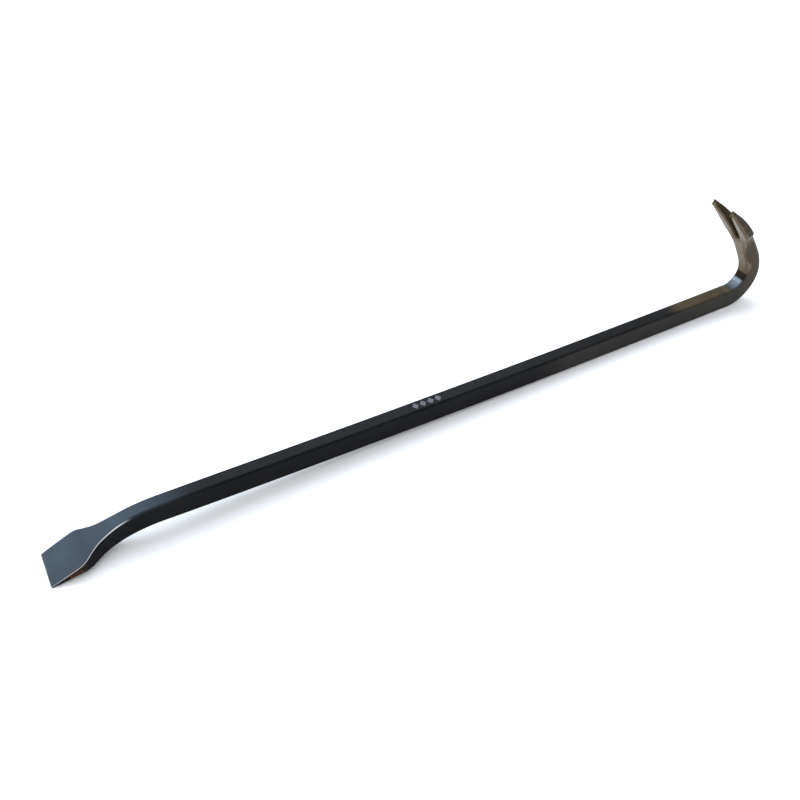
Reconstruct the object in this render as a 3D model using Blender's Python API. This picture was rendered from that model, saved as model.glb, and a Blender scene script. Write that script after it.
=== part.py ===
"""Forged steel pry bar: a flared chisel blade, a rectangular shank and a curved nail claw.

The tool is one forging. It is modelled the way a smith makes it: a straight blank is drawn out
along X, split for the nail slot, has its long edges rounded, and is then bent along a centreline.
Metres, +Z up. The blade points to -X and the claw rises at +X. The bar stands on the blade's
cutting edge and on the heel of the claw bend, with the origin on the ground below its middle.
"""

import math

import bmesh
import bpy
from mathutils import Matrix, Vector

# Driving dimensions.
SHANK_WIDTH = 0.0185
SHANK_DEPTH = 0.0280
SHANK_EDGE = 0.0030
CUTTING_EDGE_DEPTH = 0.0022
BLADE_WIDTH = 0.0526
CLAW_WIDTH = 0.0430
CLAW_TIP_WIDTH = 0.0392
CLAW_TIP_DEPTH = 0.0064
BROADEST_EDGE = 0.0080

# Centreline, from the cutting edge to the claw tips: length of each stretch and how far it turns.
BLADE_LENGTH = 0.0800
CROOK_LENGTH = 0.0550
SHANK_LENGTH = 0.8235
BEND_LENGTH = 0.0580
NECK_LENGTH = 0.0230
CLAW_LENGTH = 0.1222
CENTRELINE = (
    (BLADE_LENGTH, math.radians(1.2)),
    (CROOK_LENGTH, math.radians(-18.4)),
    (SHANK_LENGTH, math.radians(2.3)),
    (BEND_LENGTH, math.radians(99.3)),
    (NECK_LENGTH, math.radians(19.2)),
    (CLAW_LENGTH, math.radians(18.0)),
)
BLADE_SLOPE = math.radians(15.9)
BAR_LENGTH = sum(length for length, turn in CENTRELINE)
BEND_START = BLADE_LENGTH + CROOK_LENGTH + SHANK_LENGTH

# Nail slot: a round root, then walls that open towards the claw tips.
SLOT_ROOT = BEND_START + 0.1300
SLOT_ROOT_RADIUS = 0.0042
SLOT_ROOT_STEPS = 4
SLOT_TIP_HALF_WIDTH = 0.0135
SLOT_EDGE = 0.0034
CLAW_END_SLANT = 0.0030

# The forging's sections. Each line gives the distance along the centreline, the width, the depth,
# the radius of the two edges on the upper side, and that of the two edges on the under side.
SECTIONS = (
    (0.0000, 0.0493, CUTTING_EDGE_DEPTH, 0.0007, 0.0007),
    (0.0100, 0.0511, 0.0046, 0.0008, 0.0010),
    (0.0220, 0.0519, 0.0074, 0.0009, 0.0013),
    (0.0375, BLADE_WIDTH, 0.0112, 0.0010, 0.0016),
    (0.0450, 0.0492, 0.0139, 0.0012, 0.0020),
    (0.0540, 0.0391, 0.0174, 0.0014, 0.0024),
    (0.0650, 0.0287, 0.0202, 0.0018, 0.0027),
    (0.0770, 0.0232, 0.0224, 0.0022, 0.0028),
    (0.0920, 0.0198, 0.0247, 0.0027, 0.0030),
    (0.1150, SHANK_WIDTH, 0.0264, SHANK_EDGE, SHANK_EDGE),
    (0.2400, SHANK_WIDTH, SHANK_DEPTH, SHANK_EDGE, SHANK_EDGE),
    (BEND_START, SHANK_WIDTH, SHANK_DEPTH, SHANK_EDGE, SHANK_EDGE),
    (BEND_START + 0.0300, SHANK_WIDTH, 0.0278, 0.0029, 0.0042),
    (BEND_START + 0.0660, SHANK_WIDTH, 0.0254, 0.0026, 0.0062),
    (BEND_START + 0.0950, SHANK_WIDTH, 0.0240, 0.0023, 0.0068),
    (BEND_START + 0.1120, 0.0193, 0.0218, 0.0020, 0.0062),
    (BEND_START + 0.1200, 0.0214, 0.0205, 0.0018, 0.0054),
    (BEND_START + 0.1280, 0.0256, 0.0189, 0.0015, 0.0045),
    (BEND_START + 0.1370, 0.0345, 0.0160, 0.0012, 0.0034),
    (BEND_START + 0.1440, CLAW_WIDTH, 0.0144, 0.0010, 0.0026),
    (BEND_START + 0.1640, 0.0425, 0.0133, 0.0009, 0.0022),
    (BEND_START + 0.1850, 0.0410, 0.0105, 0.0008, 0.0018),
    (BAR_LENGTH, CLAW_TIP_WIDTH, CLAW_TIP_DEPTH, 0.0007, 0.0012),
)

# How closely the blank is cut into stations, and the centreline into points.
BLADE_STATIONS = 12
FLARE_STATIONS = 12
CROOK_STATIONS = 5
SHANK_STATIONS = 10
BEND_STATIONS = 22
NECK_STATIONS = 12
CLAW_STATIONS = 16
EDGE_SEGMENTS = 3
POINT_SPACING = 0.0020
POINT_TURN = math.radians(1.0)

BAR_COLOUR = (0.022, 0.023, 0.024, 1.0)
BAR_ROUGHNESS = 0.34
BAR_METALLIC = 0.35
SETTLING_ROUNDS = 5


def smooth_value(column, distance):
    """Read one column of SECTIONS at a distance, on a curve that never overshoots its points."""
    at = [row[0] for row in SECTIONS]
    value = [row[column] for row in SECTIONS]
    slopes = [(value[i + 1] - value[i]) / (at[i + 1] - at[i]) for i in range(len(at) - 1)]
    tangents = [slopes[0]]
    for before, after in zip(slopes, slopes[1:]):
        mean = 0.0 if before * after <= 0.0 else 2.0 * before * after / (before + after)
        tangents.append(mean)
    tangents.append(slopes[-1])
    i = max(k for k in range(len(slopes)) if k == 0 or at[k] <= distance)
    span = at[i + 1] - at[i]
    t = min(1.0, max(0.0, (distance - at[i]) / span))
    start = value[i] * (1 + 2 * t) * (1 - t) ** 2 + tangents[i] * span * t * (1 - t) ** 2
    end = value[i + 1] * t * t * (3 - 2 * t) + tangents[i + 1] * span * t * t * (t - 1)
    return start + end


def slot_half_width(distance):
    """Half the nail slot's width at a distance along the blank: a round root, then a taper."""
    depth = distance - SLOT_ROOT
    if depth <= 0.0:
        return 0.0
    run = (depth - SLOT_ROOT_RADIUS) / (BAR_LENGTH - SLOT_ROOT - SLOT_ROOT_RADIUS)
    if run <= 0.0:
        return math.sqrt(max(0.0, depth * (2 * SLOT_ROOT_RADIUS - depth)))
    spread = SLOT_TIP_HALF_WIDTH - SLOT_ROOT_RADIUS
    return SLOT_ROOT_RADIUS + spread * (0.72 * run + 0.28 * run ** 3)


def spaced(start, end, count):
    """Distances from start up to, but not including, end."""
    return [start + (end - start) * i / count for i in range(count)]


def solid_stations():
    """Where the undivided part of the blank has its sections."""
    shoulder = SECTIONS[3][0]
    bend_end = BEND_START + BEND_LENGTH
    stations = spaced(0.0, shoulder, BLADE_STATIONS)
    stations += spaced(shoulder, BLADE_LENGTH, FLARE_STATIONS)
    stations += spaced(BLADE_LENGTH, BLADE_LENGTH + CROOK_LENGTH, CROOK_STATIONS)
    stations += spaced(BLADE_LENGTH + CROOK_LENGTH, BEND_START, SHANK_STATIONS)
    stations += spaced(BEND_START, bend_end, BEND_STATIONS)
    stations += spaced(bend_end, SLOT_ROOT, NECK_STATIONS)
    return stations


def tine_stations():
    """Where each tine has its sections after the root, closely spaced round the root."""
    quarter = math.pi / 2 / SLOT_ROOT_STEPS
    stations = []
    for i in range(1, SLOT_ROOT_STEPS + 1):
        stations.append(SLOT_ROOT + SLOT_ROOT_RADIUS * (1 - math.cos(i * quarter)))
    stations += spaced(stations[-1], BAR_LENGTH, CLAW_STATIONS)[1:]
    stations.append(BAR_LENGTH)
    return stations


class Blank:
    """The straight blank as a mesh, whose long edges remember the radius they will get."""

    def __init__(self):
        self.mesh = bmesh.new()
        self.weight = self.mesh.edges.layers.float.new("bevel_weight_edge")

    def corner(self, distance, across, side):
        """A corner of the section at a distance, on the upper (+1) or under (-1) side."""
        slant = 0.0
        if distance == BAR_LENGTH:
            slant = CLAW_END_SLANT * -side
        point = (distance + slant, across, side * smooth_value(2, distance) / 2)
        return self.mesh.verts.new(point)

    def ring(self, distance, columns):
        """Corners round a section: across its upper side, then back across its under side."""
        upper = [self.corner(distance, across, 1) for across in columns]
        under = [self.corner(distance, across, -1) for across in reversed(columns)]
        return upper + under

    def round_slot_edge(self, a, b):
        """Mark the upper edge of the nail slot, which is broken back further than the rest."""
        self.mesh.edges.get((a, b))[self.weight] = SLOT_EDGE / BROADEST_EDGE

    def round_edge(self, a, b, distance, side):
        """Set the radius of the long edge between two corners."""
        radius = smooth_value(3 if side > 0 else 4, distance)
        self.mesh.edges.get((a, b))[self.weight] = radius / BROADEST_EDGE

    def join(self, before, after, distance):
        """Skin the gap between two rings of equal count and mark its long edges."""
        count = len(before)
        for i in range(count):
            j = (i + 1) % count
            self.mesh.faces.new((before[i], before[j], after[j], after[i]))
        for i in range(count):
            side = 1 if i < count // 2 else -1
            self.round_edge(before[i], after[i], distance, side)

    def round_end(self, ring, distance):
        """Mark the edges round a closed end."""
        for i, corner in enumerate(ring):
            self.round_edge(corner, ring[(i + 1) % len(ring)], distance, 1)

    def build_solid(self):
        """Blade, shank, bend and neck, up to the last section before the slot's root."""
        stations = solid_stations()
        half = smooth_value(1, 0.0) / 2
        ring = self.ring(0.0, (-half, half))
        self.mesh.faces.new(reversed(ring))
        self.round_end(ring, 0.0)
        for distance in stations[1:]:
            half = smooth_value(1, distance) / 2
            following = self.ring(distance, (-half, half))
            self.join(ring, following, distance)
            ring = following
        return ring

    def build_tine(self, sign, start):
        """One tine, from the root section to its squared end. sign is +1 or -1 across Y."""
        ring = start
        for distance in tine_stations():
            outer = sign * smooth_value(1, distance) / 2
            inner = sign * slot_half_width(distance)
            columns = (inner, outer) if sign > 0 else (outer, inner)
            following = self.ring(distance, columns)
            self.join(ring, following, distance)
            upper = 0 if sign > 0 else 1
            self.round_slot_edge(ring[upper], following[upper])
            ring = following
        self.mesh.faces.new(ring)
        self.round_end(ring, BAR_LENGTH)

    def build_claw(self, ring):
        """Divide the bar at the slot's root and draw out both tines."""
        half = smooth_value(1, SLOT_ROOT) / 2
        root = self.ring(SLOT_ROOT, (-half, 0.0, half))
        left_top, mid_top, right_top, right_low, mid_low, left_low = root
        a, b, c, d = ring
        self.mesh.faces.new((a, b, right_top, mid_top, left_top))
        self.mesh.faces.new((b, c, right_low, right_top))
        self.mesh.faces.new((c, d, left_low, mid_low, right_low))
        self.mesh.faces.new((d, a, left_top, left_low))
        for before, after, side in ((a, left_top, 1), (b, right_top, 1),
                                    (c, right_low, -1), (d, left_low, -1)):
            self.round_edge(before, after, SLOT_ROOT, side)
        self.build_tine(-1, (left_top, mid_top, mid_low, left_low))
        self.build_tine(1, (mid_top, right_top, right_low, mid_low))


def make_blank_mesh():
    """The straight blank, split at the claw, with the radii of its edges as bevel weights."""
    blank = Blank()
    blank.build_claw(blank.build_solid())
    bmesh.ops.recalc_face_normals(blank.mesh, faces=blank.mesh.faces)
    mesh = bpy.data.meshes.new("forged_bar")
    blank.mesh.to_mesh(mesh)
    blank.mesh.free()
    return mesh


def centreline_points():
    """Walk the centreline's stretches and give its points in the XZ plane."""
    position = Vector((0.0, 0.0))
    heading = BLADE_SLOPE
    points = [position.copy()]
    for length, turn in CENTRELINE:
        count = math.ceil(max(length / POINT_SPACING, abs(turn) / POINT_TURN))
        for _ in range(count):
            middle = heading + turn / count / 2
            position += Vector((math.cos(middle), math.sin(middle))) * length / count
            heading += turn / count
            points.append(position.copy())
    return points


def make_centreline():
    """The guide curve that the blank is bent along."""
    curve = bpy.data.curves.new("centreline", "CURVE")
    curve.dimensions = "3D"
    curve.twist_mode = "MINIMUM"
    points = centreline_points()
    spline = curve.splines.new("POLY")
    spline.points.add(len(points) - 1)
    for point, (x, z) in zip(spline.points, points):
        point.co = (x, 0.0, z, 1.0)
    guide = bpy.data.objects.new("centreline", curve)
    guide.hide_render = True
    guide.display_type = "WIRE"
    bpy.context.scene.collection.objects.link(guide)
    return guide


def make_steel():
    """Black lacquer over forged steel."""
    material = bpy.data.materials.new("black_lacquered_steel")
    material.use_nodes = True
    shader = material.node_tree.nodes["Principled BSDF"]
    shader.inputs["Base Color"].default_value = BAR_COLOUR
    shader.inputs["Roughness"].default_value = BAR_ROUGHNESS
    shader.inputs["Metallic"].default_value = BAR_METALLIC
    return material


def make_bar(guide):
    """The forged bar: blank, rounded edges, then the bends."""
    bar = bpy.data.objects.new("forged_bar", make_blank_mesh())
    bpy.context.scene.collection.objects.link(bar)
    bar.data.materials.append(make_steel())
    rounding = bar.modifiers.new("rounded_edges", "BEVEL")
    rounding.limit_method = "WEIGHT"
    rounding.offset_type = "OFFSET"
    rounding.width = BROADEST_EDGE
    rounding.segments = EDGE_SEGMENTS
    rounding.use_clamp_overlap = False
    bending = bar.modifiers.new("bends", "CURVE")
    bending.object = guide
    bending.deform_axis = "POS_X"
    bar.data.shade_smooth()
    bar.data.set_sharp_from_angle(angle=math.radians(35))
    return bar


def stand_on_ground(bar, stand):
    """Tip the bar until cutting edge and heel touch the ground, and centre it over the origin."""
    bpy.context.view_layer.update()
    shape = bar.evaluated_get(bpy.context.evaluated_depsgraph_get())
    corners = [vertex.co.copy() for vertex in shape.data.vertices]
    tilt = Matrix.Identity(4)
    for _ in range(SETTLING_ROUNDS):
        placed = [tilt @ corner for corner in corners]
        edge = min((p for p in placed if p.x < BLADE_LENGTH), key=lambda p: p.z)
        heel = min((p for p in placed if p.x > BAR_LENGTH / 2), key=lambda p: p.z)
        angle = math.atan2(heel.z - edge.z, heel.x - edge.x)
        tilt = Matrix.Rotation(angle, 4, "Y") @ tilt
    placed = [tilt @ corner for corner in corners]
    middle = (min(p.x for p in placed) + max(p.x for p in placed)) / 2
    stand.rotation_euler = tilt.to_euler()
    stand.location = (-middle, 0.0, -min(p.z for p in placed))


def build():
    """Clear the scene and make the pry bar."""
    for leftover in list(bpy.data.objects):
        bpy.data.objects.remove(leftover)
    stand = bpy.data.objects.new("stand", None)
    bpy.context.scene.collection.objects.link(stand)
    guide = make_centreline()
    bar = make_bar(guide)
    guide.parent = stand
    bar.parent = stand
    stand_on_ground(bar, stand)


build()
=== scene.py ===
"""Studio scene of a forged steel pry bar.

The bar is made as a smith makes it. A straight blank is drawn out along X, one section after
another, and split for the nail slot. Its long edges are rounded, and it is then bent along a
centreline and stood on its cutting edge and on the heel of the claw bend. Metres, +Z up.
"""

import math
from collections import namedtuple

import bmesh
import bpy
from mathutils import Matrix, Vector


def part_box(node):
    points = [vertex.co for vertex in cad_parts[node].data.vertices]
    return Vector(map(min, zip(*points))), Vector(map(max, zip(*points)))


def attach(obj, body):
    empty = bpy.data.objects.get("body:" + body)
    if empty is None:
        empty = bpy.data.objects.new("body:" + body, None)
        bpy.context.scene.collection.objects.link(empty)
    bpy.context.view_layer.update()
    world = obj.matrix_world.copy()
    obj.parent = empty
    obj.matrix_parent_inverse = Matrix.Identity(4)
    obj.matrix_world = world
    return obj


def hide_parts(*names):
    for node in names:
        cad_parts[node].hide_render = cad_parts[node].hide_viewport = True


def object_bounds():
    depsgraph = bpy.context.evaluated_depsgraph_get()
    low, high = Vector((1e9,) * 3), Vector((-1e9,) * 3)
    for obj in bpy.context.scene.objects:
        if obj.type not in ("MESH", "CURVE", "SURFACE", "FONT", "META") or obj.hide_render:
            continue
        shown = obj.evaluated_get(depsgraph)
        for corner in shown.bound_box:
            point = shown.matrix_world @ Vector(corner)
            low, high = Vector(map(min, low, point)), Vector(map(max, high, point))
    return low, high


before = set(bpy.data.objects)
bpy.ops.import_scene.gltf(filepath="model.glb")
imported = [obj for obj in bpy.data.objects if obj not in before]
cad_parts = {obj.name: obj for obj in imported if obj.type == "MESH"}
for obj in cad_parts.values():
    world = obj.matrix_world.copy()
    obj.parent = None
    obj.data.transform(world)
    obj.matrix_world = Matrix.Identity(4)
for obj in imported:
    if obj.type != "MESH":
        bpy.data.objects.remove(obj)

CAD_BOX = [list(corner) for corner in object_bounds()]
BAR_LOW, BAR_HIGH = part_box("forged_bar")

# Section sizes.
SHANK_WIDTH = 0.0185
SHANK_DEPTH = 0.0280
SHANK_EDGE = 0.0030
CUTTING_EDGE_DEPTH = 0.0022
BLADE_WIDTH = BAR_HIGH.y - BAR_LOW.y
CLAW_WIDTH = 0.0430
CLAW_TIP_WIDTH = 0.0392
CLAW_TIP_DEPTH = 0.0064

# How the edges are rounded: no radius is over the broadest.
BROADEST_EDGE = 0.0080
EDGE_SEGMENTS = 6
SMOOTH_ANGLE = math.radians(40)

# Centreline, from the cutting edge to the claw tips: length of each stretch and how far it turns.
BLADE_LENGTH = 0.0800
CROOK_LENGTH = 0.0550
SHANK_LENGTH = 0.8235
BEND_LENGTH = 0.0580
NECK_LENGTH = 0.0230
CLAW_LENGTH = 0.1222
CENTRELINE = (
    (BLADE_LENGTH, math.radians(1.2)),
    (CROOK_LENGTH, math.radians(-18.4)),
    (SHANK_LENGTH, math.radians(2.3)),
    (BEND_LENGTH, math.radians(99.3)),
    (NECK_LENGTH, math.radians(19.2)),
    (CLAW_LENGTH, math.radians(18.0)),
)
BLADE_SLOPE = math.radians(15.9)
BAR_LENGTH = sum(length for length, turn in CENTRELINE)
BEND_START = BLADE_LENGTH + CROOK_LENGTH + SHANK_LENGTH
BEND_END = BEND_START + BEND_LENGTH
POINT_SPACING = 0.0020
POINT_TURN = math.radians(1.0)
SETTLING_ROUNDS = 5

# Nail slot: a round root, then walls that open towards the claw tips, faster at the very end.
SLOT_ROOT = BEND_START + 0.1300
SLOT_ROOT_RADIUS = 0.0042
SLOT_TIP_HALF_WIDTH = 0.0135
SLOT_LATE_SPREAD = 0.28
SLOT_EDGE = 0.0034
CLAW_END_SLANT = 0.0030

# Where the blade is widest.
SHOULDER = 0.0375

# Each line gives the distance along the bar, the width, the depth, the radius of the two edges
# on the upper side, and that of the two edges on the under side.
SECTIONS = (
    (0.0000, 0.0493, CUTTING_EDGE_DEPTH, 0.0007, 0.0007),
    (0.0100, 0.0511, 0.0046, 0.0008, 0.0010),
    (0.0220, 0.0519, 0.0074, 0.0009, 0.0013),
    (SHOULDER, BLADE_WIDTH, 0.0112, 0.0010, 0.0016),
    (0.0450, 0.0492, 0.0139, 0.0012, 0.0020),
    (0.0540, 0.0391, 0.0174, 0.0014, 0.0024),
    (0.0650, 0.0287, 0.0202, 0.0018, 0.0027),
    (0.0770, 0.0232, 0.0224, 0.0022, 0.0028),
    (0.0920, 0.0198, 0.0247, 0.0027, 0.0030),
    (0.1150, SHANK_WIDTH, 0.0264, SHANK_EDGE, SHANK_EDGE),
    (0.2400, SHANK_WIDTH, SHANK_DEPTH, SHANK_EDGE, SHANK_EDGE),
    (BEND_START, SHANK_WIDTH, SHANK_DEPTH, SHANK_EDGE, SHANK_EDGE),
    (BEND_START + 0.0300, SHANK_WIDTH, 0.0278, 0.0029, 0.0042),
    (BEND_START + 0.0660, SHANK_WIDTH, 0.0254, 0.0026, 0.0062),
    (BEND_START + 0.0950, SHANK_WIDTH, 0.0240, 0.0023, 0.0068),
    (BEND_START + 0.1120, 0.0193, 0.0218, 0.0020, 0.0062),
    (BEND_START + 0.1200, 0.0214, 0.0205, 0.0018, 0.0054),
    (BEND_START + 0.1280, 0.0256, 0.0189, 0.0015, 0.0045),
    (BEND_START + 0.1370, 0.0345, 0.0160, 0.0012, 0.0034),
    (BEND_START + 0.1440, CLAW_WIDTH, 0.0144, 0.0010, 0.0026),
    (BEND_START + 0.1640, 0.0425, 0.0133, 0.0009, 0.0022),
    (BEND_START + 0.1850, 0.0410, 0.0105, 0.0008, 0.0018),
    (BAR_LENGTH, CLAW_TIP_WIDTH, CLAW_TIP_DEPTH, 0.0007, 0.0012),
)
WIDTH, DEPTH, UPPER_EDGE, UNDER_EDGE = 1, 2, 3, 4

# The low swell that the dies leave round the shank, just before the claw bend.
SWELL_AT = BEND_START - 0.0050
SWELL_REACH = 0.0040
SWELL_RISE = 0.0002

# The undivided blank is drawn out in runs: where each run ends, and its number of sections.
SOLID_RUNS = (
    (SHOULDER, 16),
    (BLADE_LENGTH, 20),
    (BLADE_LENGTH + CROOK_LENGTH, 22),
    (SWELL_AT - SWELL_REACH, 40),
    (SWELL_AT + SWELL_REACH, 12),
    (BEND_START, 1),
    (BEND_END, 40),
    (SLOT_ROOT, 28),
)
SLOT_ROOT_SECTIONS = 6
TINE_SECTIONS = 30

# How far down the claw's sides the brown and the painted reflection of its inner side reach.
CLAW_REACH = 0.0040

# One end face of the blank: its distance along X, the Y of its two sides, and its depth.
Face = namedtuple("Face", "distance right left depth")
METRE_PLATE = Face(0.0, -0.5, 0.5, 1.0)

# Points closer than this are taken to lie at the same place.
SAME_PLACE = 0.00005


def smooth_value(column, distance):
    """Read one column of SECTIONS at a distance, on a curve that never overshoots its points."""
    at = [row[0] for row in SECTIONS]
    value = [row[column] for row in SECTIONS]
    slopes = [(value[i + 1] - value[i]) / (at[i + 1] - at[i]) for i in range(len(at) - 1)]
    tangents = [slopes[0]]
    for before, after in zip(slopes, slopes[1:]):
        mean = 0.0 if before * after <= 0.0 else 2.0 * before * after / (before + after)
        tangents.append(mean)
    tangents.append(slopes[-1])
    i = max(k for k in range(len(slopes)) if k == 0 or at[k] <= distance)
    span = at[i + 1] - at[i]
    t = min(1.0, max(0.0, (distance - at[i]) / span))
    start = value[i] * (1 + 2 * t) * (1 - t) ** 2 + tangents[i] * span * t * (1 - t) ** 2
    end = value[i + 1] * t * t * (3 - 2 * t) + tangents[i + 1] * span * t * t * (t - 1)
    return start + end


def swell(distance):
    """How far the surface stands proud at a distance."""
    offset = min(1.0, abs(distance - SWELL_AT) / SWELL_REACH)
    return SWELL_RISE * (1 - offset ** 2) ** 2


def slot_half_width(distance):
    """Half the nail slot's width at a distance along the blank: a round root, then a taper."""
    depth = distance - SLOT_ROOT
    if depth <= 0.0:
        return 0.0
    run = (depth - SLOT_ROOT_RADIUS) / (BAR_LENGTH - SLOT_ROOT - SLOT_ROOT_RADIUS)
    if run <= 0.0:
        return math.sqrt(max(0.0, depth * (2 * SLOT_ROOT_RADIUS - depth)))
    spread = (1 - SLOT_LATE_SPREAD) * run + SLOT_LATE_SPREAD * run ** 3
    return SLOT_ROOT_RADIUS + (SLOT_TIP_HALF_WIDTH - SLOT_ROOT_RADIUS) * spread


def slot_gap(place):
    """How far a place in the straight blank is from the nail slot's wall."""
    past_root = place.x - SLOT_ROOT - SLOT_ROOT_RADIUS
    if past_root < 0.0:
        return math.hypot(past_root, place.y) - SLOT_ROOT_RADIUS
    return abs(place.y) - slot_half_width(min(place.x, BAR_LENGTH))


def spaced(start, end, count):
    """Distances after start, up to and including end."""
    return [start + (end - start) * (i + 1) / count for i in range(count)]


def solid_distances():
    """Where the undivided part of the blank gets its sections, from the blade to the slot's root."""
    distances = []
    start = 0.0
    for end, count in SOLID_RUNS:
        distances += spaced(start, end, count)
        start = end
    return distances


def tine_distances():
    """Where each tine gets its sections, closely spaced round the slot's root."""
    distances = []
    for angle in spaced(0.0, math.pi / 2, SLOT_ROOT_SECTIONS):
        distances.append(SLOT_ROOT + SLOT_ROOT_RADIUS * (1 - math.cos(angle)))
    return distances + spaced(distances[-1], BAR_LENGTH, TINE_SECTIONS)


def solid_face(distance):
    """The undivided blank's section at a distance."""
    half = smooth_value(WIDTH, distance) / 2 + swell(distance)
    return Face(distance, -half, half, smooth_value(DEPTH, distance) + 2 * swell(distance))


def tine_face(distance, side):
    """The section of the tine on one side, +1 or -1 across Y."""
    outer = smooth_value(WIDTH, distance) / 2
    inner = slot_half_width(distance)
    right, left = (inner, outer) if side > 0 else (-outer, -inner)
    return Face(distance, right, left, smooth_value(DEPTH, distance))


def place_face(before, after):
    """Size and shift the selected end face from one section to the next."""
    centre = (after.distance, (before.right + before.left) / 2, 0.0)
    width_ratio = (after.left - after.right) / (before.left - before.right)
    ratios = (1.0, width_ratio, after.depth / before.depth)
    bpy.ops.transform.resize(value=ratios, center_override=centre)
    shift = (after.right + after.left - before.right - before.left) / 2
    bpy.ops.transform.translate(value=(0.0, shift, 0.0))


def draw_out(faces):
    """Extrude the selected end face through a row of sections."""
    for before, after in zip(faces, faces[1:]):
        step = (after.distance - before.distance, 0.0, 0.0)
        bpy.ops.mesh.extrude_region_move(TRANSFORM_OT_translate={"value": step})
        place_face(before, after)


def pick(kind, wanted):
    """Select only the faces or edges whose corners are wanted."""
    bpy.ops.mesh.select_mode(type=kind)
    bpy.ops.mesh.select_all(action="DESELECT")
    mesh = bpy.context.object.data
    shape = bmesh.from_edit_mesh(mesh)
    for element in (shape.faces if kind == "FACE" else shape.edges):
        if wanted([corner.co for corner in element.verts]):
            element.select_set(True)
    bmesh.update_edit_mesh(mesh)


def all_at(distance, corners):
    """True if the corners all lie at one distance along the blank."""
    return all(abs(corner.x - distance) < SAME_PLACE for corner in corners)


def split_end(distance):
    """Divide the end face in two, with a new edge from its upper to its under side."""
    def lies_across(corners):
        return all_at(distance, corners) and abs(corners[0].y - corners[1].y) > SAME_PLACE

    pick("EDGE", lies_across)
    bpy.ops.mesh.subdivide(number_cuts=1)


def draw_tine(side):
    """Draw out one tine from its half of the divided end face, and slant its end."""
    def is_half(corners):
        return all_at(SLOT_ROOT, corners) and side * sum(corner.y for corner in corners) > 0.0

    def is_end_edge(upward):
        def wanted(corners):
            own = all(side * corner.y > 0.0 and upward * corner.z > 0.0 for corner in corners)
            return own and all_at(BAR_LENGTH, corners)
        return wanted

    pick("FACE", is_half)
    root_half = smooth_value(WIDTH, SLOT_ROOT) / 2
    right, left = (0.0, root_half) if side > 0 else (-root_half, 0.0)
    start = Face(SLOT_ROOT, right, left, smooth_value(DEPTH, SLOT_ROOT))
    draw_out([start] + [tine_face(distance, side) for distance in tine_distances()])
    for upward in (1, -1):
        pick("EDGE", is_end_edge(upward))
        bpy.ops.transform.translate(value=(-upward * CLAW_END_SLANT, 0.0, 0.0))


def forge_blank():
    """The straight blank: a plate at the cutting edge, drawn out along X and split into tines."""
    bpy.ops.object.select_all(action="DESELECT")
    bpy.ops.mesh.primitive_plane_add(size=1.0, rotation=(0.0, math.pi / 2, 0.0))
    bar = bpy.context.object
    bar.name = "bar_forging"
    bpy.ops.object.transform_apply(location=True, rotation=True, scale=True)
    bpy.ops.object.mode_set(mode="EDIT")
    bpy.ops.mesh.select_all(action="SELECT")
    start = solid_face(0.0)
    place_face(METRE_PLATE, start)
    draw_out([start] + [solid_face(distance) for distance in solid_distances()])
    split_end(SLOT_ROOT)
    draw_tine(-1)
    draw_tine(1)
    bpy.ops.mesh.select_all(action="SELECT")
    bpy.ops.mesh.normals_make_consistent(inside=False)
    bpy.ops.object.mode_set(mode="OBJECT")
    return bar


def edge_radius(a, b):
    """The radius that the edge between two corners of the blank is rounded to, or 0."""
    distance = (a.x + b.x) / 2
    if abs(a.x - b.x) < SAME_PLACE or a.z * b.z < 0.0:
        at_claw_end = abs(distance - BAR_LENGTH) < CLAW_END_SLANT + SAME_PLACE
        at_end = distance < SAME_PLACE or at_claw_end
        return smooth_value(UPPER_EDGE, distance) if at_end else 0.0
    if a.z > 0.0 and abs(slot_gap(a)) < SAME_PLACE and abs(slot_gap(b)) < SAME_PLACE:
        return SLOT_EDGE
    return smooth_value(UPPER_EDGE if a.z > 0.0 else UNDER_EDGE, distance)


def round_edges(bar):
    """Round the blank's long edges and its ends, each to its own radius."""
    mesh = bar.data
    weights = mesh.attributes.new("bevel_weight_edge", "FLOAT", "EDGE")
    for edge, weight in zip(mesh.edges, weights.data):
        a, b = (mesh.vertices[index].co for index in edge.vertices)
        weight.value = edge_radius(a, b) / BROADEST_EDGE
    rounding = bar.modifiers.new("rounded_edges", "BEVEL")
    rounding.limit_method = "WEIGHT"
    rounding.offset_type = "OFFSET"
    rounding.width = BROADEST_EDGE
    rounding.segments = EDGE_SEGMENTS
    rounding.use_clamp_overlap = False
    bpy.ops.object.modifier_apply(modifier=rounding.name)


def edge_nearness(place):
    """1 along the middle of a long outer edge and 0 on the flats, for a place in the blank."""
    distance = min(place.x, BAR_LENGTH)
    radius = smooth_value(UPPER_EDGE if place.z > 0.0 else UNDER_EDGE, distance)
    rise = (abs(place.z) - smooth_value(DEPTH, distance) / 2) / radius + 1
    to_outside = (abs(place.y) - smooth_value(WIDTH, distance) / 2) / radius + 1
    return max(0.0, min(1.0, min(rise, to_outside) * math.sqrt(2.0)))


def upper_nearness(place):
    """1 on the blank's upper side, falling to 0 over its edges and further down on the claw."""
    distance = min(place.x, BAR_LENGTH)
    reach = smooth_value(UPPER_EDGE, distance) if distance < BEND_END else CLAW_REACH
    rise = (place.z - smooth_value(DEPTH, distance) / 2) / reach + 1
    return max(0.0, min(1.0, rise))


def remember_blank(bar):
    """Keep each point's place in the straight blank, for finishes that follow the bends."""
    attributes = bar.data.attributes
    attributes.new("blank_place", "FLOAT_VECTOR", "POINT")
    attributes.new("edge_nearness", "FLOAT", "POINT")
    attributes.new("upper_nearness", "FLOAT", "POINT")
    for point in bar.data.vertices:
        attributes["blank_place"].data[point.index].vector = point.co
        attributes["edge_nearness"].data[point.index].value = edge_nearness(point.co)
        attributes["upper_nearness"].data[point.index].value = upper_nearness(point.co)


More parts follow.
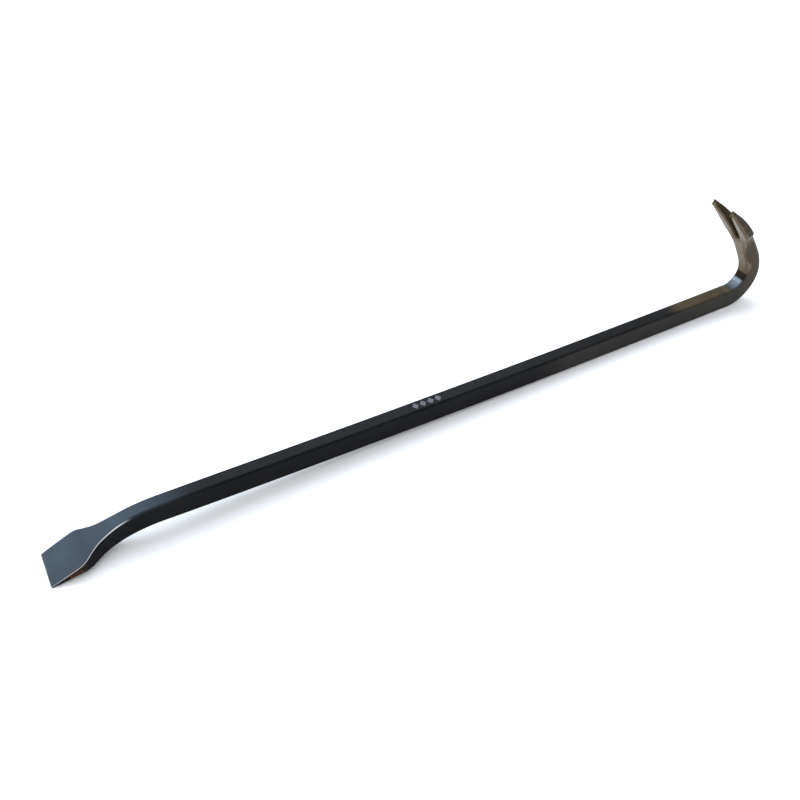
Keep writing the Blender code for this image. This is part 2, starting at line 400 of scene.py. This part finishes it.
def centreline_points():
    """Walk the centreline's stretches and give its points in the XZ plane."""
    position = Vector((0.0, 0.0))
    heading = BLADE_SLOPE
    points = [position.copy()]
    for length, turn in CENTRELINE:
        count = math.ceil(max(length / POINT_SPACING, abs(turn) / POINT_TURN))
        for _ in range(count):
            middle = heading + turn / count / 2
            position += Vector((math.cos(middle), math.sin(middle))) * length / count
            heading += turn / count
            points.append(position.copy())
    return points


def bend(bar):
    """Bend the straight bar along its centreline."""
    curve = bpy.data.curves.new("centreline", "CURVE")
    curve.dimensions = "3D"
    curve.twist_mode = "MINIMUM"
    points = centreline_points()
    spline = curve.splines.new("POLY")
    spline.points.add(len(points) - 1)
    for point, (x, z) in zip(spline.points, points):
        point.co = (x, 0.0, z, 1.0)
    guide = bpy.data.objects.new("centreline", curve)
    bpy.context.scene.collection.objects.link(guide)
    bending = bar.modifiers.new("bends", "CURVE")
    bending.object = guide
    bending.deform_axis = "POS_X"
    bpy.ops.object.modifier_apply(modifier=bending.name)
    bpy.data.objects.remove(guide)


def stand_up(bar):
    """Tip the bar until cutting edge and heel touch the ground, in the place of the CAD bar."""
    corners = [point.co.copy() for point in bar.data.vertices]
    tilt = Matrix.Identity(4)
    for _ in range(SETTLING_ROUNDS):
        placed = [tilt @ corner for corner in corners]
        edge = min((p for p in placed if p.x < BLADE_LENGTH), key=lambda p: p.z)
        heel = min((p for p in placed if p.x > BAR_LENGTH / 2), key=lambda p: p.z)
        angle = math.atan2(heel.z - edge.z, heel.x - edge.x)
        tilt = Matrix.Rotation(angle, 4, "Y") @ tilt
    placed = [tilt @ corner for corner in corners]
    middle = (min(p.x for p in placed) + max(p.x for p in placed)) / 2
    goal = Vector(((BAR_LOW.x + BAR_HIGH.x) / 2 - middle, 0.0, BAR_LOW.z - min(p.z for p in placed)))
    bar.data.transform(Matrix.Translation(goal) @ tilt)


def smooth_shading(bar):
    """Shade the rounded edges smoothly and keep the flats flat."""
    bpy.ops.object.shade_smooth_by_angle(angle=SMOOTH_ANGLE)
    flats = bar.modifiers.new("flat_faces", "WEIGHTED_NORMAL")
    flats.keep_sharp = True
    bpy.ops.object.modifier_apply(modifier=flats.name)


class Value:
    """A shader socket that can be used in sums."""

    def __init__(self, finish, socket):
        self.finish = finish
        self.socket = socket

    def combine(self, operation, first, second):
        return self.finish.node("ShaderNodeMath", {"operation": operation}, {0: first, 1: second})

    def __add__(self, other):
        return self.combine("ADD", self, other)

    def __radd__(self, other):
        return self.combine("ADD", other, self)

    def __sub__(self, other):
        return self.combine("SUBTRACT", self, other)

    def __rsub__(self, other):
        return self.combine("SUBTRACT", other, self)

    def __mul__(self, other):
        return self.combine("MULTIPLY", self, other)

    def __rmul__(self, other):
        return self.combine("MULTIPLY", other, self)

    def __abs__(self):
        return self.finish.node("ShaderNodeMath", {"operation": "ABSOLUTE"}, {0: self})

    def fraction(self):
        """What is left after the whole number."""
        return self.finish.node("ShaderNodeMath", {"operation": "FRACT"}, {0: self})

    def highest(self, other):
        """The higher of two values."""
        return self.combine("MAXIMUM", self, other)

    def rise(self, start, end):
        """0 below start, 1 above end, and an even curve between them. Falls if end is lower."""
        if end < start:
            return 1.0 - self.rise(end, start)
        settings = {"interpolation_type": "SMOOTHSTEP"}
        sockets = {"Value": self, "From Min": start, "From Max": end}
        return self.finish.node("ShaderNodeMapRange", settings, sockets)


class Finish:
    """A material under construction."""

    def __init__(self, name):
        self.material = bpy.data.materials.new(name)
        self.material.use_nodes = True
        self.tree = self.material.node_tree
        self.tree.nodes.clear()

    def node(self, kind, settings, sockets, output=0):
        """Add a node: its settings first, then the values and links of its sockets."""
        made = self.tree.nodes.new(kind)
        for name, value in settings.items():
            setattr(made, name, value)
        for name, value in sockets.items():
            if isinstance(value, Value):
                self.tree.links.new(value.socket, made.inputs[name])
            else:
                made.inputs[name].default_value = value
        return None if output is None else Value(self, made.outputs[output])

    def stored(self, name, output):
        """What the mesh keeps under a name."""
        return self.node("ShaderNodeAttribute", {"attribute_name": name}, {}, output=output)

    def part(self, place, axis):
        """One coordinate of a place."""
        return self.node("ShaderNodeSeparateXYZ", {}, {0: place}, output=axis)

    def noise(self, place, scale, detail=2.0, roughness=0.5):
        """Noise with so many spots in a metre, about 0.5 on average."""
        sockets = {"Vector": place, "Scale": scale, "Detail": detail, "Roughness": roughness}
        return self.node("ShaderNodeTexNoise", {}, sockets)

    def stretched(self, place, x, y, z):
        """A place scaled by a different factor along each axis."""
        return self.node("ShaderNodeVectorMath", {"operation": "MULTIPLY"}, {0: place, 1: (x, y, z)})

    def mix(self, factor, first, second):
        """A colour between two others."""
        settings = {"data_type": "RGBA"}
        sockets = {"Factor": factor, 6: first, 7: second}
        return self.node("ShaderNodeMix", settings, sockets, output=2)

    def bump(self, height, distance, strength, under=None):
        """Raise the surface by a height, over an earlier bump if one is given."""
        sockets = {"Height": height, "Distance": distance, "Strength": strength}
        if under is not None:
            sockets["Normal"] = under
        return self.node("ShaderNodeBump", {}, sockets)


# Finish colours, and the colours of painted reflections and a painted highlight, in linear light.
LACQUER = (0.0020, 0.0021, 0.0025, 1.0)
LACQUER_DUSTY = (0.0042, 0.0043, 0.0048, 1.0)
# Painted reflection: the bluish tint of the blade's upper side.
BLADE_SHEEN_BLUE = (0.0280, 0.0370, 0.0470, 1.0)
# Painted highlight: the brighter, more reflective steel of the bend's inside.
BEND_HIGHLIGHT_STEEL = (0.0720, 0.0830, 0.0920, 1.0)
# Painted reflection: the lighter grey of the shank's sides towards the claw.
SIDE_SHEEN_GREY = (0.0270, 0.0250, 0.0210, 1.0)
BROWNED = (0.0480, 0.0330, 0.0150, 1.0)
# Painted light: the lighter brown of the shank end's top, of its swell and of the claw's inside.
BROWN_PAINTED_LIGHT = (0.1300, 0.0950, 0.0560, 1.0)
RUST = (0.1100, 0.0380, 0.0140, 1.0)
BARE_STEEL = (0.5600, 0.5700, 0.5800, 1.0)
ETCHED = (0.1000, 0.1030, 0.1100, 1.0)

# Noise patterns, in spots to the metre.
CLOUDS = 22.0
SCUFFS = 160.0
GRAIN = 420.0
SPECKS = 900.0

# Heights of the surface's relief.
CLOUD_RELIEF = 0.0012
GRAIN_RELIEF = 0.00012
ETCHED_RELIEF = 0.00005

# Distances along the bar between which each finish, painted reflection or painted highlight fades in
# or out.
EDGE_SHARPENED = (0.0024, 0.0016)
BLADE_EDGE_WORN = (0.1060, 0.0880)
# Where the painted bluish reflection on the blade's upper side fades out.
BLADE_SHEEN_FADES = (0.1900, 0.1100)
RUST_BEGINS = (SHOULDER - 0.0235, SHOULDER - 0.0135)
RUST_ENDS = (SHOULDER + 0.0065, SHOULDER - 0.0015)
# Where the painted reflection on the shank's sides begins and where it deepens.
SIDE_SHEEN_BEGINS = (0.6200, 0.6900)
SIDE_SHEEN_DEEPENS = (0.8500, 0.9500)
SHANK_BROWNED = (0.8450, 0.8750)
BEND_BEGINS = (BEND_START - 0.0015, BEND_START + 0.0005)
# Where the painted highlight on the bend's inside deepens and where it ends.
HIGHLIGHT_DEEPENS = (BEND_START + 0.0035, BEND_START + 0.0335)
HIGHLIGHT_ENDS = (BEND_START + 0.0390, BEND_START + 0.0360)
BROWN_DEEPENS = (BEND_START + 0.0015, BEND_START + 0.0815)
# Where the painted reflection on the claw's inside begins.
CLAW_REFLECTION_BEGINS = (BEND_END - 0.0065, BEND_END - 0.0015)
BEND_ENDS = (BEND_END - 0.0015, BEND_END - 0.0055)

# Distances from the middle of the bar and of its swell between which a finish or a painted highlight
# fades.
RUST_ACROSS = (0.0235, 0.0250)
SWELL_HIGHLIGHT_ACROSS = (0.0045, 0.0030)

# The etched mark: plain lozenges in a row on the upper side of the shank.
MARK_START = 0.4520
MARK_PITCH = 0.0105
MARK_COUNT = 4
MARK_HALF_LENGTH = 0.0044
MARK_HALF_WIDTH = 0.0054
MARK_HALF_ROW = MARK_PITCH * MARK_COUNT / 2
MARK_MIDDLE = MARK_START + MARK_HALF_ROW
MARK_BLUR = 0.0002


def lozenges(distance, across, upper):
    """1 inside the etched lozenges, 0 elsewhere."""
    cell = ((distance - MARK_START) * (1.0 / MARK_PITCH)).fraction()
    along = abs(cell - 0.5) * (MARK_PITCH / MARK_HALF_LENGTH)
    outward = abs(across) * (1.0 / MARK_HALF_WIDTH)
    shape = (along + outward).rise(1.0, 0.93)
    in_row = abs(distance - MARK_MIDDLE).rise(MARK_HALF_ROW, MARK_HALF_ROW - MARK_BLUR)
    return shape * in_row * upper.rise(0.5, 0.9)


def black_lacquered_steel():
    """Satin black lacquer over forging scale, worn to bare steel along the working edges, with
    painted reflections and a painted highlight.
    """
    finish = Finish("black_lacquered_steel")
    place = finish.stored("blank_place", "Vector")
    edge = finish.stored("edge_nearness", "Fac")
    upper = finish.stored("upper_nearness", "Fac")
    distance = finish.part(place, "X")
    across = finish.part(place, "Y")

    lengthwise = finish.stretched(place, 0.25, 1.0, 1.0)
    crosswise = finish.stretched(place, 1.0, 0.35, 1.0)
    clouds = finish.noise(place, CLOUDS, detail=3.0)
    grain = finish.noise(lengthwise, GRAIN, detail=4.0, roughness=0.6)
    specks = finish.noise(place, SPECKS)
    scuffs = finish.noise(crosswise, SCUFFS, detail=5.0, roughness=0.65)

    # Bare steel along the blade's upper edges, on the cutting edge and, faintly, on every edge.
    blade_edge = distance.rise(*BLADE_EDGE_WORN) * upper.rise(0.0, 0.2) * edge.rise(0.50, 0.85)
    cutting_edge = (distance + scuffs * 0.002).rise(*EDGE_SHARPENED) * 0.3
    rubbed = edge.rise(0.5, 1.0) * scuffs.rise(0.56, 0.72) * 0.03
    bare = blade_edge.highest(cutting_edge).highest(rubbed)

    # The blade's upper side, painted bluish and half metallic as a painted reflection of the light
    # above it, and a trace of rust beside its shoulder.
    blade_sheen_mask = upper * distance.rise(*BLADE_SHEEN_FADES)
    at_shoulder = distance.rise(*RUST_BEGINS) * distance.rise(*RUST_ENDS)
    rusty = at_shoulder * abs(across).rise(*RUST_ACROSS) * scuffs.rise(0.45, 0.62) * 0.6

    # Painted highlight on the bend's inside: brighter, more reflective steel, strongest at a line
    # across it; from there to the claw, brown is kept off as a painted dark reflection.
    past_shank = distance.rise(*BEND_BEGINS)
    painted_bend_zone = upper * past_shank * distance.rise(*BEND_ENDS)
    highlight_ramp = 0.45 + 0.55 * distance.rise(*HIGHLIGHT_DEEPENS)
    bend_highlight_mask = painted_bend_zone * distance.rise(*HIGHLIGHT_ENDS) * highlight_ramp

    # The shank's sides are painted lighter grey towards the claw as a painted reflection, and the
    # scale is browned from there on.
    uneven = 0.7 + 0.3 * clouds.rise(0.25, 0.70)
    side_sheen_mask = distance.rise(*SIDE_SHEEN_BEGINS) * uneven * (0.7 + 0.3 * distance.rise(*SIDE_SHEEN_DEEPENS))
    brown_off_painted_bend = 1.0 - 0.7 * painted_bend_zone
    brown_begins = distance.rise(*SHANK_BROWNED)
    browned = (distance.rise(*BROWN_DEEPENS) * brown_off_painted_bend).highest(upper * 0.8)
    browned = browned * brown_begins * uneven * brown_off_painted_bend

    # Painted light on the brown: lighter on the shank end's upper side, a painted highlight on its
    # swell and a painted reflection all over the claw's inside.
    shank_end = brown_begins * (1.0 - past_shank)
    swell_highlight = abs(distance - SWELL_AT).rise(*SWELL_HIGHLIGHT_ACROSS)
    claw_inside_reflection = (upper + clouds).rise(0.90, 0.98) * distance.rise(*CLAW_REFLECTION_BEGINS)
    brown_painted_light = (upper * (shank_end * 0.3 + swell_highlight * 0.4)).highest(claw_inside_reflection)

    mark = lozenges(distance, across, upper) * (0.75 + 0.25 * specks)

    colour = finish.mix(clouds.rise(0.35, 0.70), LACQUER, LACQUER_DUSTY)
    colour = finish.mix(blade_sheen_mask, colour, BLADE_SHEEN_BLUE)
    colour = finish.mix(side_sheen_mask * (1.0 - upper), colour, SIDE_SHEEN_GREY)
    colour = finish.mix(browned, colour, finish.mix(brown_painted_light, BROWNED, BROWN_PAINTED_LIGHT))
    colour = finish.mix(bend_highlight_mask, colour, BEND_HIGHLIGHT_STEEL)
    colour = finish.mix(rusty, colour, RUST)
    colour = finish.mix(mark, colour, ETCHED)
    colour = finish.mix(bare, colour, BARE_STEEL)

    roughness = 0.27 + 0.10 * clouds.rise(0.30, 0.75) + 0.05 * specks
    roughness = roughness + 0.18 * rusty + 0.16 * mark + 0.10 * blade_sheen_mask
    metallic = bare.highest(mark * 0.6).highest(blade_sheen_mask * 0.5)
    metallic = metallic.highest(browned * 0.3).highest(bend_highlight_mask)

    forged = finish.bump(clouds, CLOUD_RELIEF, 0.5)
    lacquered = finish.bump(grain, GRAIN_RELIEF, 0.35, under=forged)
    etched = finish.bump(1.0 - mark, ETCHED_RELIEF, 0.6, under=lacquered)

    shader = finish.node("ShaderNodeBsdfPrincipled", {}, {
        "Base Color": colour,
        "Roughness": roughness,
        "Metallic": metallic,
        "Specular IOR Level": 0.07,
        "Normal": etched,
    })
    finish.node("ShaderNodeOutputMaterial", {}, {"Surface": shader}, output=None)
    return finish.material


def make_bar():
    """The whole forging, finished and put in the place of the CAD bar."""
    bar = forge_blank()
    round_edges(bar)
    remember_blank(bar)
    bend(bar)
    stand_up(bar)
    smooth_shading(bar)
    bar.data.materials.clear()
    bar.data.materials.append(black_lacquered_steel())
    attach(bar, "root")
    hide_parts("forged_bar")
    return bar


# The studio.
FLOOR_SIZE = 14.0
FLOOR_COLOUR = (0.88, 0.88, 0.88, 1.0)
SKY_COLOUR = (0.95, 0.97, 1.0, 1.0)
SKY_STRENGTH = 1.15
LIGHTS_AIM = (0.0, 0.0, 0.03)

# Two softboxes behind the bar, each with its place, width, height, power and colour. The blade
# and the claw bend mirror the first one, and the shank the second.
SOFTBOXES = {
    "blade_softbox": ((-1.35, 1.45, 1.35), 1.2, 0.8, 26.0, (0.78, 0.89, 1.0)),
    "shank_softbox": ((0.25, 0.95, 1.65), 1.8, 1.4, 28.0, (0.74, 0.85, 1.0)),
}


def make_floor():
    """A plain pale floor."""
    bpy.ops.object.select_all(action="DESELECT")
    bpy.ops.mesh.primitive_plane_add(size=FLOOR_SIZE)
    floor = bpy.context.object
    floor.name = "studio_floor"
    finish = Finish("pale_floor")
    shader = finish.node("ShaderNodeBsdfPrincipled", {}, {
        "Base Color": FLOOR_COLOUR,
        "Roughness": 0.9,
        "Specular IOR Level": 0.1,
    })
    finish.node("ShaderNodeOutputMaterial", {}, {"Surface": shader}, output=None)
    floor.data.materials.append(finish.material)


def make_sky():
    """Even white light from all round."""
    world = bpy.data.worlds.new("studio")
    world.use_nodes = True
    background = world.node_tree.nodes["Background"]
    background.inputs["Color"].default_value = SKY_COLOUR
    background.inputs["Strength"].default_value = SKY_STRENGTH
    bpy.context.scene.world = world


def make_softbox(name, place, width, height, power, colour):
    """A rectangular area light at a place, facing the bar."""
    light = bpy.data.lights.new(name, "AREA")
    light.shape = "RECTANGLE"
    light.size = width
    light.size_y = height
    light.energy = power
    light.color = colour
    lamp = bpy.data.objects.new(name, light)
    lamp.location = place
    lamp.rotation_euler = (Vector(LIGHTS_AIM) - Vector(place)).to_track_quat("-Z", "Y").to_euler()
    bpy.context.scene.collection.objects.link(lamp)


# The camera's aim, from the middle of the bar, and the way it looks.
AIM_ALONG = -0.0679
AIM_HEIGHT = 0.0532
CAMERA_DISTANCE = 1.0960
CAMERA_AZIMUTH = math.radians(-27.741)
CAMERA_ELEVATION = math.radians(43.378)
CAMERA_ROLL = math.radians(-1.101)
CAMERA_LENS = 41.351


def make_camera():
    """The camera, above the near side of the blade, looking down along the bar."""
    middle = (CAD_BOX[0][0] + CAD_BOX[1][0]) / 2
    aim = Vector((middle + AIM_ALONG, 0.0, CAD_BOX[0][2] + AIM_HEIGHT))
    level = Vector((-math.sin(CAMERA_AZIMUTH), math.cos(CAMERA_AZIMUTH), 0.0))
    look = level * math.cos(CAMERA_ELEVATION) - Vector((0.0, 0.0, math.sin(CAMERA_ELEVATION)))
    data = bpy.data.cameras.new("camera")
    data.lens = CAMERA_LENS
    data.sensor_width = 36.0
    camera = bpy.data.objects.new("camera", data)
    camera.location = aim - look * CAMERA_DISTANCE
    turn = look.to_track_quat("-Z", "Y").to_matrix().to_4x4()
    camera.rotation_euler = (turn @ Matrix.Rotation(CAMERA_ROLL, 4, "Z")).to_euler()
    bpy.context.scene.collection.objects.link(camera)
    bpy.context.scene.camera = camera


make_camera()
make_bar()
make_floor()
make_sky()
for name, softbox in SOFTBOXES.items():
    make_softbox(name, *softbox)
bpy.context.scene.view_settings.view_transform = "Standard"
